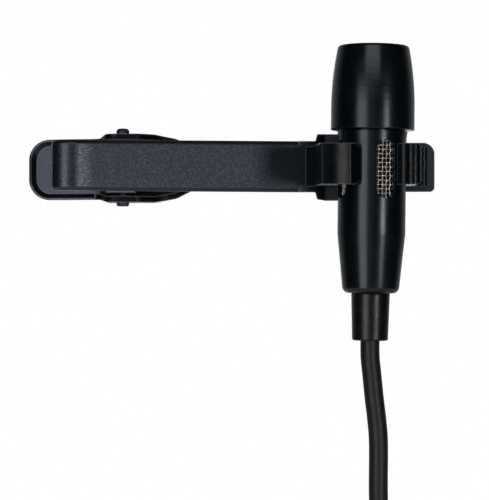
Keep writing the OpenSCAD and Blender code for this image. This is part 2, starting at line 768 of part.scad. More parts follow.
// Threaded collar that clamps the boot; flutes give a grip
module plug_collar() {
    flutes = 16;
    color(dark_steel) at_plug() difference() {
        rotate_extrude() polygon(rounded([
            [3.52, -boot_l - collar_l, 0], [plug_r - 0.25, -boot_l - collar_l, 0.1],
            [plug_r - 0.25, -boot_l + 0.3, 0.5], [3.52, -boot_l + 0.3, 0],
        ]));
        for (a = [0:360 / flutes:359]) rotate([0, 0, a]) translate([plug_r + 0.02, 0, 0])
            disc(0.45, -boot_l - collar_l + 1.2, -boot_l - 1);
    }
}

// Metal shell of the plug, with the latch's window in its side
module plug_shell() {
    color(dark_steel) at_plug() difference() {
        rotate_extrude() polygon(rounded([
            [shell_bore_r, nose_z, 0], [plug_r - 0.1, nose_z, 0.3], [plug_r, nose_z + 1.2, 0],
            [plug_r, shell_z, 0.2], [shell_bore_r, shell_z, 0],
        ]));
        translate([insert_r, -latch_w / 2 - play, latch_z - latch_l / 2 - play])
            cube([5, latch_w + 2 * play, latch_l + 2 * play]);
    }
}

// Thin sleeve that enters the socket, with its keyway
module plug_nose() {
    color(nickel) at_plug() difference() {
        union() {
            tube_solid(nose_r, insert_r + 0.02, nose_z - nose_l, nose_z - nose_l + land_l);
            tube_solid(shell_bore_r - play, insert_r + 0.02, nose_z - nose_l + land_l - eps, shell_z);
        }
        translate([-5, -0.6, nose_z - nose_l - 1]) cube([3, 1.2, 4]);
        translate([2, -latch_w / 2 - play, latch_z - latch_l / 2 - 1])
            cube([5, latch_w + 2 * play, latch_l + 2]);
        translate([2, -0.6, nose_z - 4.2]) cube([5, 1.2, 2.2]);
    }
}

// Insulator that carries the contacts
module plug_insert() {
    color("#20201f") at_plug() difference() {
        disc(insert_r, nose_z - nose_l + 0.6, shell_z);
        for (a = [0:120:359]) rotate([0, 0, a]) translate([-contact_ring, 0, 0])
            disc(0.55, nose_z - nose_l - 1, shell_z + 1);
        translate([latch_slot_x, -latch_w / 2 - play, nose_z - 5])
            cube([3, latch_w + 2 * play, shell_l]);
    }
}

// Three socket contacts
module plug_contacts() {
    color("#c9a54a") at_plug() for (a = [0:120:359]) rotate([0, 0, a]) translate([-contact_ring, 0, 0])
        tube_solid(0.53, 0.28, nose_z - nose_l + 0.8, shell_z + 1.2);
}

// Press button with the arm and the tooth that catches in the socket
module plug_latch() {
    color("#2a2b2e") at_plug() {
        along_y(-latch_w / 2, latch_w / 2) polygon(rounded([
            [3, latch_z - latch_l / 2, 0], [plug_r + 0.2, latch_z - latch_l / 2, 0.3],
            [plug_r + 0.75, latch_z, 3], [plug_r + 0.2, latch_z + latch_l / 2, 0.3],
            [3, latch_z + latch_l / 2, 0],
        ]));
        translate([latch_arm_x, -0.5, nose_z - 4]) cube([0.5, 1, latch_z - nose_z + 4]);
        along_y(-0.5, 0.5) polygon([[2.6, nose_z - 4], [nose_r - 0.2, nose_z - 4],
            [nose_r + 0.2, nose_z - 3.2], [nose_r + 0.2, nose_z - 2.3], [2.6, nose_z - 2.3]]);
    }
}

// Small coil spring under the press button
module latch_spring() {
    turns = 3;
    steps = 8 * turns;
    wire_r = 0.12;
    reach = 1.1;
    path = [
        for (i = [0:steps]) let (a = 360 * turns * i / steps)
            [latch_slot_x + 0.15 + reach * i / steps, 0.5 * cos(a), latch_z + 1.6 + 0.5 * sin(a)]
    ];
    color(bright_wire) at_plug() tube(path, wire_r, 6, [1, 0, 0]);
}

front_cap();
front_mesh();
felt_disc();
capsule();
capsule_ring();
side_mesh();
housing();
circuit_board();
hookup_wires();
cable_clamp();
cable_end();
strain_relief();
mic_holder();
clip_bar();
clip_lever();
pivot_pin();
torsion_spring();
cable_run();
cable_coil();
cable_tie();
cable_tail();
plug_boot();
plug_collar();
plug_shell();
plug_nose();
plug_insert();
plug_contacts();
plug_latch();
latch_spring();
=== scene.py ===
"""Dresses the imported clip-on microphone: cable, straps, screen, finishes, lights and camera."""

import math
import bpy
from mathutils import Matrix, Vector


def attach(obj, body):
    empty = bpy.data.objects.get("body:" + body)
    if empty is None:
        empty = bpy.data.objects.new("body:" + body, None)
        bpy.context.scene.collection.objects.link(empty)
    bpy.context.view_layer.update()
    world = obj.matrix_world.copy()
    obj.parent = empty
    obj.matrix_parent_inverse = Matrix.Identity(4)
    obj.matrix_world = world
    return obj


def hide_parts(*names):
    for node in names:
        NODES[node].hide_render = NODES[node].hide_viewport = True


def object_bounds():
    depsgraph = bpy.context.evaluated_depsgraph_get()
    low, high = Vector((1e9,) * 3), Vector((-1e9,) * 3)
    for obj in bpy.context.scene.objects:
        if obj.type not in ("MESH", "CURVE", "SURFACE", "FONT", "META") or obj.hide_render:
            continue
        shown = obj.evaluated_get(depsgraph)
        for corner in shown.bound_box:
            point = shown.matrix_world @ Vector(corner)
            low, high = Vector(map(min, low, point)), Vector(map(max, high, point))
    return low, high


bl_info = {
    "name": "Clip-on Microphone",
    "version": (1, 0, 0),
    "blender": (4, 5, 0),
    "location": "3D View > Sidebar > Microphone",
    "description": "Builds the cable, straps, screen, finishes and studio of a clip-on microphone",
    "category": "Object",
}

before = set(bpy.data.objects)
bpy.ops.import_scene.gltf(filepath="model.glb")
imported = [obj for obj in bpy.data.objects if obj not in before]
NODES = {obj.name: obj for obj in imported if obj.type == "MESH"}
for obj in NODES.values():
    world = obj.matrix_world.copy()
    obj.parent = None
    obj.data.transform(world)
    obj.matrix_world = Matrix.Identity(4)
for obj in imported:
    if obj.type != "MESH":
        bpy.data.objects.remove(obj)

import bpy
from bpy.props import FloatProperty, FloatVectorProperty, IntProperty, PointerProperty
from mathutils import Matrix, Vector

CAD_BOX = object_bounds()
MM = 0.001


# ------------------------------------------------------------------ sizes, in millimetres

MIC_X = 0.05
MIC_Y = -9.0
MIC_LEAN = 0.7
MIC_FRAME = Matrix.Translation((MIC_X, MIC_Y, 0)) @ Matrix.Rotation(math.radians(MIC_LEAN), 4, "Y")

# The cable's free run, in [x, z], from the strain relief to the top of the coil
RUN_ROUTE = [
    (-0.22, -21.92), (-0.2, -24), (0, -26), (0.3, -29), (0.65, -32), (0.85, -35), (0.85, -42),
    (1.3, -44.3), (2.6, -46.25), (4.55, -47.6), (6.2, -48), (6.85, -48),
]
# The tail, in [x, z below the coil], from the bottom of the coil to the plug
TAIL_ROUTE = [(6.85, 0), (6.2, 0), (4.55, -0.4), (2.6, -1.75), (1.3, -3.7), (0.85, -6), (0.85, -12)]
# Where the thumb plate ends and the lever's ears begin, in x
THUMB_END = -35.2
# Along the bar, in x: where its flat starts, half the length of the blend there, and where it ends
FLAT_START = -35.7
FLAT_BLEND = 1.25
BAR_END = -6.8
CABLE_D = 2.4
COIL_TURNS = 16.5
COIL_LAYERS = 4
COIL_PITCH = 2.85
COIL_MEAN_R = 14.0
COIL_CLIMB = 0.5
COIL_TOP_Z = -48.0
COIL_X = 6.85 + CABLE_D
LAYER_TURNS = COIL_TURNS / COIL_LAYERS
COIL_OUTER_R = COIL_MEAN_R + LAYER_TURNS * COIL_PITCH / 2
COIL_INNER_R = COIL_MEAN_R - LAYER_TURNS * COIL_PITCH / 2
COIL_Z = COIL_TOP_Z - COIL_OUTER_R
COIL_BACK_Y = MIC_Y + (COIL_LAYERS - 1) * COIL_PITCH
TAIL_Z = COIL_Z - COIL_OUTER_R
COIL_STEPS = 48         # points in a turn
ROUTE_STEPS = 4         # points between two of the route's

STRAP_THICKNESS = 0.62
STRAP_LAP_GAP = 0.06    # between the strap's start and the end that lies over it
STRAP_CORNER_R = 1.5
STRAP_CLEARANCE = 0.25  # between the strap and the turns

SCREEN_R = 3.6
SCREEN_LOW = -5.2
SCREEN_HIGH = 4.0
WIRE_SIDES = 7
WIRE_SWING = 1.05       # of the wire's radius, to each side of the sleeve

FLOOR_R = 600
FLOOR_SIDES = 96
FLOOR_DROP = 4          # under the plug
FLOOR_FADE = (300, 580)  # distances from the middle where the floor starts and stops fading

# Where the camera stands, and how far from the microphone the lights do, in metres
CAMERA_PLACE = (-0.0159, -0.269, -0.0106)
LIGHT_DISTANCE = 0.5
LEVEL_LIGHT = 0.2       # a light that stands less than this high or low faces level


# ------------------------------------------------------------------ colours without a setting

STEEL_TINT = (0.73, 0.82, 1)
PAINT_TINT = (0.8, 0.87, 1)
# painted highlight colours, laid along the sharp edges of the steel and of the ring
PAINTED_HIGHLIGHT_STEEL = (0.2, 0.2, 0.21)
PAINTED_HIGHLIGHT_PLASTIC = (0.11, 0.12, 0.13)
PIN_STEEL = (0.008, 0.009, 0.01)
SPRING_STEEL = (0.35, 0.35, 0.36)
CAPSULE_CAN = (0.55, 0.56, 0.58)
COPPER = (0.75, 0.36, 0.2)
NICKEL = (0.62, 0.61, 0.58)
GOLD = (0.83, 0.6, 0.25)
DARK_FELT = (0.02, 0.02, 0.02)
SEAT_RUBBER = (0.012, 0.012, 0.012)
BOOT_RUBBER = (0.012, 0.012, 0.013)
SHELL_PAINT = (0.011, 0.012, 0.014)
INSULATOR = (0.01, 0.01, 0.01)
LATCH_PLASTIC = (0.014, 0.014, 0.016)
SOLDER_MASK = (0.02, 0.09, 0.035)
COPPER_TRACKS = (0.05, 0.19, 0.08)


# ------------------------------------------------------------------ settings

class CableSettings(bpy.types.PropertyGroup):
    """Size and colour of the cable and its straps."""

    diameter: FloatProperty(
        name="Diameter", description="Diameter of the cable's jacket", default=CABLE_D * MM,
        min=0.0022, max=0.0026, unit="LENGTH", precision=4)
    sides: IntProperty(
        name="Roundness", description="Steps in a quarter of the cable's section", default=6,
        min=3, max=12)
    jacket: FloatVectorProperty(
        name="Jacket", description="Colour of the cable's jacket", subtype="COLOR", size=3,
        default=(0.0025, 0.0028, 0.0034), min=0, max=1)
    strap: FloatVectorProperty(
        name="Strap", description="Colour of the straps round the coil", subtype="COLOR", size=3,
        default=(0.016, 0.017, 0.02), min=0, max=1)
    strap_width: FloatProperty(
        name="Strap width", description="Width of each strap", default=0.0042,
        min=0.003, max=0.006, unit="LENGTH", precision=4)


class MicrophoneSettings(bpy.types.PropertyGroup):
    """Finish of the microphone and the weave of its screen."""

    paint: FloatVectorProperty(
        name="Paint", description="Colour of the cap and the housing", subtype="COLOR", size=3,
        default=(0.0006, 0.0022, 0.003), min=0, max=1)
    paint_roughness: FloatProperty(
        name="Paint roughness", description="Roughness of the satin paint", default=0.24,
        min=0.1, max=0.6, subtype="FACTOR")
    relief: FloatVectorProperty(
        name="Strain relief", description="Colour of the rubber strain relief", subtype="COLOR",
        size=3, default=(0.0012, 0.0015, 0.002), min=0, max=1)
    wire: FloatVectorProperty(
        name="Wire", description="Colour of the screen's wire", subtype="COLOR", size=3,
        default=(0.80, 0.74, 0.71), min=0, max=1)
    wire_diameter: FloatProperty(
        name="Wire diameter", description="Diameter of the screen's wire", default=0.00017,
        min=0.0001, max=0.0002, unit="LENGTH", precision=5)
    wire_pitch: FloatProperty(
        name="Wire pitch", description="Distance from one wire of the screen to the next",
        default=0.00053, min=0.0004, max=0.0007, unit="LENGTH", precision=5)


class ClipSettings(bpy.types.PropertyGroup):
    """Finish of the clip and of the moulded ring."""

    steel: FloatVectorProperty(
        name="Steel", description="Colour of the clip's blackened steel", subtype="COLOR", size=3,
        default=(0.002, 0.0028, 0.004), min=0, max=1)
    steel_roughness: FloatProperty(
        name="Steel roughness", description="Roughness of the blackened steel", default=0.33,
        min=0.1, max=0.6, subtype="FACTOR")
    ring: FloatVectorProperty(
        name="Ring", description="Colour of the moulded ring", subtype="COLOR", size=3,
        default=(0.001, 0.002, 0.003), min=0, max=1)


class StudioSettings(bpy.types.PropertyGroup):
    """Lights, backdrop and camera."""

    left_light: FloatProperty(
        name="Left light", description="Brightness of the tall light on the left", default=2.0,
        min=0, max=10)
    right_light: FloatProperty(
        name="Right light", description="Brightness of the tall light on the right", default=8.2,
        min=0, max=10)
    top_light: FloatProperty(
        name="Top light", description="Brightness of the light above the camera", default=1.45,
        min=0, max=10)
    front_light: FloatProperty(
        name="Front light", description="Brightness of the weak light beside the camera",
        default=0.15, min=0, max=10)
    ambient: FloatProperty(
        name="Ambient", description="Brightness of the surroundings on dull surfaces", default=0.38,
        min=0, max=2)
    floor: FloatVectorProperty(
        name="Floor", description="Colour of the floor", subtype="COLOR", size=3,
        default=(0.8, 0.8, 0.8), min=0, max=1)
    lens: FloatProperty(
        name="Lens", description="Focal length of the camera in millimetres", default=149.76,
        min=50, max=300)


# ------------------------------------------------------------------ shapes

def smooth_step(t):
    """0 up to 0, 1 from 1 on, and an S-shaped rise between them."""
    c = max(0.0, min(1.0, t))
    return c * c * (3 - 2 * c)


def curved_route(points, steps):
    """Points of a smooth curve through the given points, with several steps between each pair."""
    ends = [2 * points[0] - points[1], *points, 2 * points[-1] - points[-2]]
    route = []
    for a, b, c, d in zip(ends, ends[1:], ends[2:], ends[3:]):
        for i in range(steps):
            t = i / steps
            route.append(0.5 * (2 * b + (c - a) * t + (2 * a - 5 * b + 4 * c - d) * t * t
                                + (3 * b - a - 3 * c + d) * t ** 3))
    return [*route, points[-1]]


def coil_radius(turn):
    """Radius of the coil after a number of turns: it spirals in and out by one pitch a turn."""
    layer, along = divmod(turn, LAYER_TURNS)
    inward = int(layer) % 2 == 0
    return COIL_OUTER_R - COIL_PITCH * along if inward else COIL_INNER_R + COIL_PITCH * along


def coil_layer(turn):
    """Layers climbed after a number of turns: each climb is centred on the spiral's reversal."""
    return sum(smooth_step((turn - k * LAYER_TURNS) / COIL_CLIMB + 0.5)
               for k in range(1, COIL_LAYERS))


def coil_points():
    """Centreline of the coil, from its top to its bottom."""
    points = []
    for i in range(round(COIL_TURNS * COIL_STEPS) + 1):
        turn = min(i / COIL_STEPS, COIL_TURNS - 1e-9)
        angle = math.radians(90 - 360 * turn)
        radius = coil_radius(turn)
        points.append(Vector((
            COIL_X + radius * math.cos(angle), MIC_Y + COIL_PITCH * coil_layer(turn),
            COIL_Z + radius * math.sin(angle))))
    return points


def cable_route():
    """The whole cable's centreline in millimetres: free run, coil and tail."""
    run = curved_route([Vector((x, MIC_Y, z)) for x, z in RUN_ROUTE], ROUTE_STEPS)
    tail = curved_route([Vector((x, COIL_BACK_Y, TAIL_Z + z)) for x, z in TAIL_ROUTE], ROUTE_STEPS)
    return [*run, *coil_points(), *tail]


def new_piece(name, vertices, faces, material, smooth=True):
    """A mesh object in the scene, from points in millimetres."""
    mesh = bpy.data.meshes.new(name)
    mesh.from_pydata([Vector(v) * MM for v in vertices], [], faces)
    mesh.validate()
    mesh.materials.append(material)
    if smooth:
        mesh.shade_smooth()
    piece = bpy.data.objects.new(name, mesh)
    bpy.context.scene.collection.objects.link(piece)
    return piece


def sweep(path, section, across, closed=False):
    """Vertices and faces of a section swept along a path.

    across(i) is a direction that the path is never parallel to.
    """
    vertices = []
    count = len(path)
    for i, point in enumerate(path):
        before = path[(i - 1) % count] if closed or i else path[0]
        after = path[(i + 1) % count] if closed or i < count - 1 else path[-1]
        along = (after - before).normalized()
        side = along.cross(across(i)).normalized()
        up = side.cross(along)
        vertices += [point + side * u + up * v for u, v in section]
    n = len(section)
    rings = count if closed else count - 1
    faces = [
        (i * n + k, i * n + (k + 1) % n,
         (i + 1) % count * n + (k + 1) % n, (i + 1) % count * n + k)
        for i in range(rings) for k in range(n)
    ]
    if not closed:
        faces += [tuple(range(n - 1, -1, -1)), tuple((count - 1) * n + k for k in range(n))]
    return vertices, faces


def circle_section(radius, sides):
    """Points of a polygon in a circle of that radius."""
    return [(radius * math.cos(2 * math.pi * k / sides), radius * math.sin(2 * math.pi * k / sides))
            for k in range(sides)]


def joined(parts):
    """Several pairs of vertices and faces as one pair."""
    vertices, faces = [], []
    for part_vertices, part_faces in parts:
        start = len(vertices)
        vertices += part_vertices
        faces += [tuple(start + k for k in face) for face in part_faces]
    return vertices, faces


# ------------------------------------------------------------------ finishes

NOISE_RANGE = (0.3, 0.7)        # where most of a noise texture's values lie
PAINTED_HIGHLIGHT_WIDTH = 0.22               # reach of the painted edge highlight from a sharp edge, in millimetres
PAINTED_HIGHLIGHT_RANGE = (0.985, 0.88)      # cosine of the edge's turn where the painted highlight starts and is full
BEVEL_SAMPLES = 6


class Nodes:
    """A node tree under construction."""

    def __init__(self, tree):
        self.tree = tree

    def add(self, kind, **settings):
        node = self.tree.nodes.new(kind)
        for key, value in settings.items():
            setattr(node, key, value)
        return node

    def link(self, output, target):
        self.tree.links.new(output, target)

    def mapped(self, value, source, result=(0, 1), smooth=False):
        """The value, moved from the range in source to the one in result and kept inside it."""
        shape = "SMOOTHSTEP" if smooth else "LINEAR"
        node = self.add("ShaderNodeMapRange", interpolation_type=shape)
        for name, number in zip(("From Min", "From Max", "To Min", "To Max"), (*source, *result)):
            node.inputs[name].default_value = number
        self.link(value, node.inputs["Value"])
        return node.outputs["Result"]

    def combined(self, operation, *values):
        """Result of a Math node; each value is a number or another node's output."""
        node = self.add("ShaderNodeMath", operation=operation)
        for socket, value in zip(node.inputs, values):
            if isinstance(value, bpy.types.NodeSocket):
                self.link(value, socket)
            else:
                socket.default_value = value
        return node.outputs["Value"]

    def blended(self, factor, first, second):
        """A number that goes from first to second as the factor goes from 0 to 1."""
        node = self.add("ShaderNodeMix")
        for name, value in (("Factor", factor), ("A", first), ("B", second)):
            if isinstance(value, bpy.types.NodeSocket):
                self.link(value, node.inputs[name])
            else:
                node.inputs[name].default_value = value
        return node.outputs["Result"]


class Finish(Nodes):
    """A material under construction: its shader, and the coordinates that its textures use."""

    def __init__(self, name, colour, roughness, metallic=0.0, ior=1.5, tint=(1, 1, 1)):
        self.material = bpy.data.materials.new(name)
        self.material.use_nodes = True
        super().__init__(self.material.node_tree)
        self.shader = self.tree.nodes["Principled BSDF"]
        self.set("Base Color", (*colour, 1))
        self.set("Roughness", roughness)
        self.set("Metallic", metallic)
        self.set("IOR", ior)
        self.set("Specular Tint", (*tint, 1))
        self.colour = colour
        self.roughness = roughness
        self.place = self.add("ShaderNodeTexCoord").outputs["Object"]

    def set(self, name, value):
        """Sets a constant on the shader itself."""
        self.shader.inputs[name].default_value = value

    def noise(self, size_mm, detail=3.0, stretch=(1, 1, 1)):
        """Noise with features of about that size, longer along the axes where stretch is over 1."""
        mapping = self.add("ShaderNodeMapping")
        mapping.inputs["Scale"].default_value = tuple(1 / s for s in stretch)
        texture = self.add("ShaderNodeTexNoise")
        texture.inputs["Scale"].default_value = 1 / (size_mm * MM)
        texture.inputs["Detail"].default_value = detail
        self.link(self.place, mapping.inputs["Vector"])
        self.link(mapping.outputs["Vector"], texture.inputs["Vector"])
        return texture.outputs["Fac"]

    def vary_colour(self, value, other, low=0.35, high=0.65):
        """Blends from the base colour to another one where value goes from low to high."""
        ramp = self.add("ShaderNodeValToRGB")
        for stop, position, colour in zip(
                ramp.color_ramp.elements, (low, high), (self.colour, other)):
            stop.position = position
            stop.color = (*colour, 1)
        self.link(value, ramp.inputs["Fac"])
        self.link(ramp.outputs["Color"], self.shader.inputs["Base Color"])
        return self

    def vary_roughness(self, value, spread):
        """Lets the roughness go up and down by spread."""
        limits = (self.roughness - spread, self.roughness + spread)
        self.link(self.mapped(value, NOISE_RANGE, limits), self.shader.inputs["Roughness"])
        return self

    def along_bar(self):
        """X along the bar, from its tip to the jog, where it stops growing."""
        split = self.add("ShaderNodeSeparateXYZ")
        self.link(self.place, split.inputs["Vector"])
        return self.combined("MINIMUM", split.outputs["X"], BAR_END * MM)

    def leaning_sheen(self, place, tip_slope, flat_slope):
        """Height that rises along the bar, more on its flat than at its tip: the sheen leans."""
        flat = self.combined("SMOOTH_MAX", place, FLAT_START * MM, FLAT_BLEND * MM)
        rise = self.combined("MULTIPLY", flat, flat_slope - tip_slope)
        return self.combined("MULTIPLY_ADD", place, tip_slope, rise)

    def duller_flat(self, place, value, roughness, spread):
        """Roughness that is higher on the bar's flat than on its tip; value adds 0 to 2 spreads."""
        blend = ((FLAT_START - FLAT_BLEND) * MM, (FLAT_START + FLAT_BLEND) * MM)
        limits = (self.roughness - spread, roughness - spread)
        least = self.mapped(place, blend, limits, smooth=True)
        both = self.combined("MULTIPLY_ADD", value, 2 * spread, least)
        self.link(both, self.shader.inputs["Roughness"])
        return self

    def bevel(self, edge_mm):
        """Normal of the surface with its sharp edges rounded."""
        node = self.add("ShaderNodeBevel", samples=BEVEL_SAMPLES)
        node.inputs["Radius"].default_value = edge_mm * MM
        return node.outputs["Normal"]

    def painted_edge_highlights(self, colour):
        """Lighter base colour on sharp edges: a painted highlight where the edges would catch the
        light.
        """
        true_normal = self.add("ShaderNodeNewGeometry").outputs["True Normal"]
        turn = self.add("ShaderNodeVectorMath", operation="DOT_PRODUCT")
        self.link(self.bevel(PAINTED_HIGHLIGHT_WIDTH), turn.inputs[0])
        self.link(true_normal, turn.inputs[1])
        # mask of the painted edge highlight, full on sharp edges and nothing on flat faces
        edge_highlight = self.mapped(turn.outputs["Value"], PAINTED_HIGHLIGHT_RANGE)
        paint = self.shader.inputs["Base Color"]
        mix = self.add("ShaderNodeMix", data_type="RGBA")
        mix.inputs["A"].default_value = (*self.colour, 1)
        mix.inputs["B"].default_value = (*colour, 1)
        if paint.is_linked:
            self.link(paint.links[0].from_socket, mix.inputs["A"])
        self.link(edge_highlight, mix.inputs["Factor"])
        self.link(mix.outputs["Result"], paint)
        return self

    def relief(self, layers, edge_mm=0.0):
        """Bumps, as (value, height in millimetres), over edges that are rounded by edge_mm."""
        normal = self.bevel(edge_mm) if edge_mm else None
        for value, height in layers:
            bump = self.add("ShaderNodeBump")
            bump.inputs["Strength"].default_value = 1.0
            bump.inputs["Distance"].default_value = height * MM
            self.link(value, bump.inputs["Height"])
            if normal:
                self.link(normal, bump.inputs["Normal"])
            normal = bump.outputs["Normal"]
        self.link(normal, self.shader.inputs["Normal"])
        return self


def satin_paint(settings):
    """Thin satin paint over turned metal: fine rings of the lathe and a faint orange peel."""
    finish = Finish("satin_paint", settings.paint, settings.paint_roughness, ior=1.54,
                    tint=PAINT_TINT)
    rings = finish.noise(0.16, 2, stretch=(60, 60, 1))
    peel = finish.noise(0.22, 2)
    finish.vary_roughness(finish.noise(1.2), 0.03)
    return finish.relief([(rings, 0.0010), (peel, 0.0016)], edge_mm=0.05).material


def black_steel(name, colour, roughness, ior=1.64, bar=False):
    """Painted or blackened steel with a fine grain and a painted highlight on its sharp edges; the
    bar is mottled too.
    """
    finish = Finish(name, colour, roughness, ior=ior, tint=STEEL_TINT)
    clouds = finish.noise(1.6, 4)
    grain = finish.noise(0.14, 3)
    finish.vary_colour(clouds, tuple(1.6 * c for c in colour))
    # painted highlight along the sharp edges
    finish.painted_edge_highlights(PAINTED_HIGHLIGHT_STEEL)
    layers = [(grain, 0.0045)]
    if bar:
        mottle = finish.noise(0.3, 3)
        place = finish.along_bar()
        finish.duller_flat(place, mottle, 0.48, 0.16)
        # The sheen's height is in metres
        sheen = (finish.leaning_sheen(place, -0.1, -0.4), 1 / MM)
        layers = [sheen, (mottle, 0.026), *layers]
    else:
        finish.vary_roughness(clouds, 0.035)
    return finish.relief(layers, edge_mm=0.07).material


def grained_plastic(name, colour, roughness, grain_mm, height_mm, edge_mm=0.08, ior=1.5, edge_highlight=None):
    """Moulded plastic or rubber with a sparkling grain, and a painted highlight on its sharp edges
    if given a colour for it.
    """
    finish = Finish(name, colour, roughness, ior=ior)
    grain = finish.noise(grain_mm, 3)
    finish.vary_colour(finish.noise(2.5), tuple(1.4 * c for c in colour))
    # painted highlight along the sharp edges, if a colour is given
    if edge_highlight:
        finish.painted_edge_highlights(edge_highlight)
    finish.vary_roughness(finish.noise(0.8), 0.05)
    return finish.relief([(grain, height_mm)], edge_mm=edge_mm).material


def bright_metal(name, colour, roughness):
    """Bare or plated metal with fine handling marks."""
    finish = Finish(name, colour, roughness, metallic=1.0)
    marks = finish.noise(0.12, 4, stretch=(1, 1, 8))
    finish.vary_colour(finish.noise(0.9), tuple(0.8 * c for c in colour))
    finish.vary_roughness(marks, 0.06)
    return finish.relief([(marks, 0.0006)], edge_mm=0.03).material


def cable_jacket(colour):
    """Soft cable jacket: a fine grain under a dusty sheen."""
    finish = Finish("cable_jacket", colour, 0.46)
    finish.set("Sheen Weight", 0.015)
    finish.set("Sheen Roughness", 0.4)
    grain = finish.noise(0.3, 3)
    finish.vary_colour(finish.noise(2.0, 4), tuple(1.5 * c for c in colour))
    finish.vary_roughness(finish.noise(1.0), 0.05)
    return finish.relief([(grain, 0.006)]).material


def strap_fabric(colour):
    """Woven hook-and-loop strap: cross threads and a felted nap."""
    finish = Finish("strap_fabric", colour, 0.9)
    finish.set("Sheen Weight", 0.25)
    finish.set("Sheen Roughness", 0.5)
    threads = finish.noise(0.25, 2, stretch=(4, 1, 1))
    nap = finish.noise(0.12, 4)
    finish.vary_colour(nap, tuple(2.2 * c for c in colour))
    return finish.relief([(threads, 0.05), (nap, 0.03)]).material


def felt():
    """Dark acoustic felt with a short nap."""
    finish = Finish("felt", DARK_FELT, 0.95)
    nap = finish.noise(0.1, 4)
    finish.vary_colour(nap, tuple(2 * c for c in DARK_FELT))
    return finish.relief([(nap, 0.03)]).material


def circuit_lacquer():
    """Green solder mask over lighter copper tracks."""
    finish = Finish("circuit_lacquer", SOLDER_MASK, 0.35)
    tracks = finish.noise(0.6, 1, stretch=(1, 1, 3))
    finish.vary_colour(tracks, COPPER_TRACKS, 0.48, 0.52)
    return finish.relief([(tracks, 0.01)], edge_mm=0.03).material


def dress(material, *nodes):
    """Gives CAD nodes a finish."""
    for name in nodes:
        mesh = NODES[name].data
        mesh.materials.clear()
        mesh.materials.append(material)


# ------------------------------------------------------------------ operators

class MICROPHONE_OT_camera(bpy.types.Operator):
    """Places the camera level with the microphone, in front of the clip"""

    bl_idname = "microphone.camera"
    bl_label = "Camera"

    def execute(self, context):
        data = bpy.data.cameras.new("camera")
        data.sensor_width = 36
        data.lens = context.scene.microphone_studio.lens
        data.clip_start = 0.01
        data.clip_end = 20
        camera = bpy.data.objects.new("camera", data)
        camera.location = CAMERA_PLACE
        camera.rotation_euler = (math.pi / 2, 0, 0)
        context.scene.collection.objects.link(camera)
        context.scene.camera = camera
        return {"FINISHED"}


class MICROPHONE_OT_cable(bpy.types.Operator):
    """Lays the cable: a free run, a tied coil of four layers, and the tail that holds the plug"""

    bl_idname = "microphone.cable"
    bl_label = "Cable"

    def execute(self, context):
        settings = context.scene.microphone_cable
        route = [point * MM for point in cable_route()]
        curve = bpy.data.curves.new("cable", "CURVE")
        curve.dimensions = "3D"
        curve.bevel_depth = settings.diameter / 2
        curve.bevel_resolution = settings.sides
        curve.use_fill_caps = True
        spline = curve.splines.new("POLY")
        spline.points.add(len(route) - 1)
        for point, place in zip(spline.points, route):
            point.co = (*place, 1)
        spline.use_smooth = True
        curve.materials.append(cable_jacket(settings.jacket))
        cable = bpy.data.objects.new("cable", curve)
        context.scene.collection.objects.link(cable)
        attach(cable, "microphone")
        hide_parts("cable_run", "cable_coil", "cable_tail")
        return {"FINISHED"}


class MICROPHONE_OT_straps(bpy.types.Operator):
    """Wraps two hook-and-loop straps round the coil, each with its end lapped over its start"""

    bl_idname = "microphone.straps"
    bl_label = "Straps"

    def execute(self, context):
        settings = context.scene.microphone_cable
        parts = [strap_ring(side, settings.strap_width / MM) for side in (1, -1)]
        straps = new_piece("coil_straps", *joined(parts), strap_fabric(settings.strap))
        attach(straps, "microphone")
        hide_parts("cable_tie")
        return {"FINISHED"}


def strap_ring(side, width):
    """One strap round the bundle of turns; side is 1 above the coil's centre and -1 below it."""
    reach = CABLE_D / 2 + STRAP_CLEARANCE + STRAP_THICKNESS / 2
    half_y = (COIL_BACK_Y - MIC_Y) / 2 + reach
    half_z = (COIL_OUTER_R - COIL_INNER_R) / 2 + reach
    middle = Vector((COIL_X, (MIC_Y + COIL_BACK_Y) / 2, COIL_Z + side * COIL_MEAN_R))
    corners = [Vector((0, sy * (half_y - STRAP_CORNER_R), sz * (half_z - STRAP_CORNER_R)))
               for sy, sz in ((1, 1), (-1, 1), (-1, -1), (1, -1))]
    loop = []
    for turn, centre in enumerate(corners):
        for i in range(7):
            angle = math.radians(90 * turn + 15 * i)
            outward = Vector((0, math.cos(angle), math.sin(angle)))
            loop.append((centre + STRAP_CORNER_R * outward, outward))
        end = corners[(turn + 1) % 4] + STRAP_CORNER_R * outward
        for i in range(1, 6):
            loop.append((loop[-1][0].lerp(end, i / 12 + 0.1), outward))
    lap = len(loop) // 4
    path = []
    for i in range(len(loop) + lap):
        place, outward = loop[i % len(loop)]
        lift = (STRAP_THICKNESS + STRAP_LAP_GAP) * smooth_step((i - len(loop) + 4) / 5)
        path.append(middle + side_flip(place + outward * lift, side))
    half = width / 2
    section = [(0.5 * STRAP_THICKNESS * v, half * u) for u, v in (
        (-0.94, -1), (0, -1.08), (0.94, -1), (1, -0.6), (1, 0.6), (0.94, 1), (0, 1.08),
        (-0.94, 1), (-1, 0.6), (-1, -0.6))]
    return sweep(path, section, lambda i: Vector((1, 0, 0)))


def side_flip(vector, side):
    """The vector, upside down where side is -1."""
    return Vector((vector.x, vector.y, vector.z * side))


